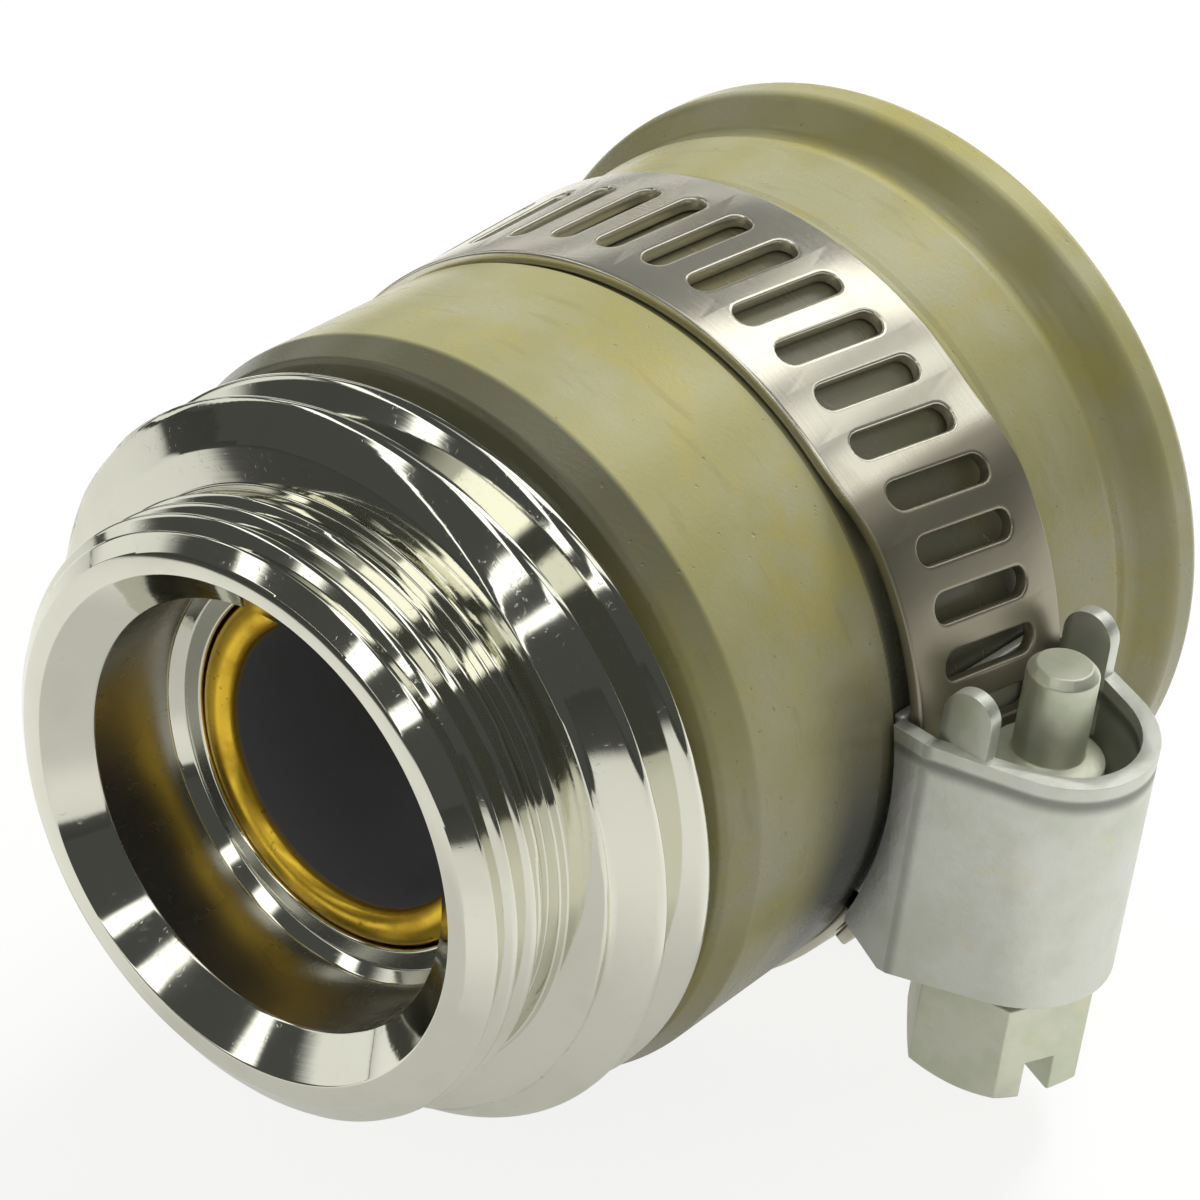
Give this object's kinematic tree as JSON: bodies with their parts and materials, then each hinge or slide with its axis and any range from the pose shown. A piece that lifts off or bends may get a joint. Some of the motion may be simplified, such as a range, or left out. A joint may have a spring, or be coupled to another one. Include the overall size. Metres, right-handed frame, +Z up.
{
  "type": "slip-on garden hose adapter",
  "caption": "Slip-on faucet to garden hose adapter: chromed stepped threaded nose, rubber sleeve with flanged mouth, and a worm-drive clamp.",
  "frame": {"origin": "centre of the outlet face of the nose, on the fitting's axis", "axes": "+Y along the fitting's axis from the outlet towards the rubber mouth, +Z up with the fitting lying on its side, the clamp screw on the +X side"},
  "size_m": [0.0365, 0.035, 0.0308],
  "materials": {
    "chromed_brass": "polished chrome over brass",
    "bare_brass": "bright yellow brass",
    "olive_rubber": "moulded, soft sheen",
    "stainless_strip": "polished rolled strip",
    "zinc_plate": "satin zinc plate",
    "zinc_screw": "satin zinc plate"
  },
  "bodies": {
    "adapter": {"threaded_nose": "chromed_brass", "brass_ferrule": "bare_brass", "rubber_sleeve": "olive_rubber"},
    "clamp": {"clamp_saddle": "zinc_plate", "clamp_housing": "zinc_plate"},
    "band": {"clamp_band": "stainless_strip"},
    "screw": {"clamp_screw": "zinc_screw"}
  },
  "joints": [
    {"name": "clamp_swivel", "type": "hinge", "parent": "adapter", "child": "clamp", "pos_m": [0, 0.0222, 0], "axis": [0, 1, 0], "continuous": true},
    {"name": "band_feed", "type": "hinge", "parent": "clamp", "child": "band", "pos_m": [0, 0.0222, 0], "axis": [0, 1, 0], "range_deg": [-4.08, 16.36]},
    {"name": "screw_turn", "type": "hinge", "parent": "clamp", "child": "screw", "pos_m": [0.017, 0.0222, -0.00224], "axis": [0.1305, 0, 0.9914], "range_deg": [-180, 720]}
  ],
  "couplings": [
    {"joint": "screw_turn", "follows": "band_feed", "ratio": 44}
  ]
}
